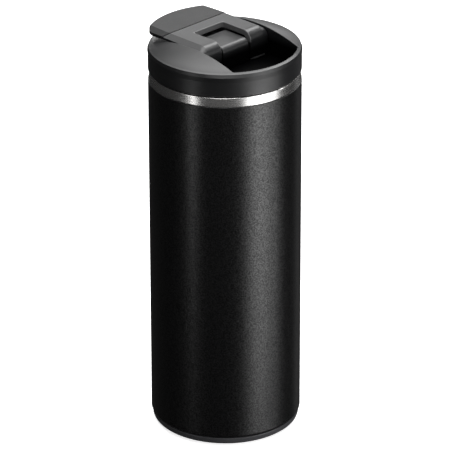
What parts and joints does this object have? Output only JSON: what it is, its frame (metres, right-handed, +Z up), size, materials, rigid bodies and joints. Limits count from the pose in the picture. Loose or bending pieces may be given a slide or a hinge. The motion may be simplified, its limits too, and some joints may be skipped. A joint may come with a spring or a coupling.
{
  "type": "insulated travel mug",
  "caption": "Slim double-walled travel mug with a straight dark body, a bare steel mouth band and a screw-on domed lid with an open drinking well and a rocking thumb lever.",
  "frame": {"origin": "centre of the foot, on the surface the mug stands on", "axes": "+Z up along the mug; -Y is the drinking side, the lever's thumb tab points to +Y"},
  "size_m": [0.0734, 0.0736, 0.2017],
  "materials": {
    "powder_coat": "fine-textured black powder coat",
    "steel": "turned and brushed around the axis",
    "foot_plastic": "matte moulded",
    "lid_plastic": "satin moulded, fine spark texture",
    "lever_plastic": "satin moulded",
    "tab_plastic": "matte moulded",
    "silicone": "soft matte",
    "pin_steel": "ground",
    "solder": "dull",
    "getter": "sintered"
  },
  "bodies": {
    "mug_body": {"outer_shell": "powder_coat", "inner_liner": "steel", "outer_base": "steel", "vacuum_seal": "solder", "getter": "getter", "foot_ring": "foot_plastic"},
    "lid_seal": {"lid_gasket": "silicone"},
    "lid": {"lid_shell": "lid_plastic", "lid_plug": "lid_plastic", "vent_valve": "silicone", "hinge_block": "lid_plastic", "lever_axle": "pin_steel", "return_spring": "pin_steel"},
    "lever": {"lever_frame": "lever_plastic", "thumb_tab": "tab_plastic", "stopper_left": "silicone", "stopper_right": "silicone"}
  },
  "joints": [
    {"name": "lid_lift", "type": "slide", "parent": "mug_body", "child": "lid_seal", "axis": [0, 0, 1], "range_m": [0, 0.036]},
    {"name": "lid_turn", "type": "hinge", "parent": "lid_seal", "child": "lid", "pos_m": [0, 0, 0.1786], "axis": [0, 0, 1], "range_deg": [0, 1080]},
    {"name": "lever_press", "type": "hinge", "parent": "lid", "child": "lever", "pos_m": [0, 0.012, 0.1945], "axis": [-1, 0, 0], "range_deg": [0, 5.5], "stiffness_Nm_per_rad": 0.3, "springref_deg": -17.19, "deforming": ["return_spring"]}
  ],
  "couplings": [
    {"joint": "lid_lift", "follows": "lid_turn", "m_per_rad": 0.0019099}
  ]
}
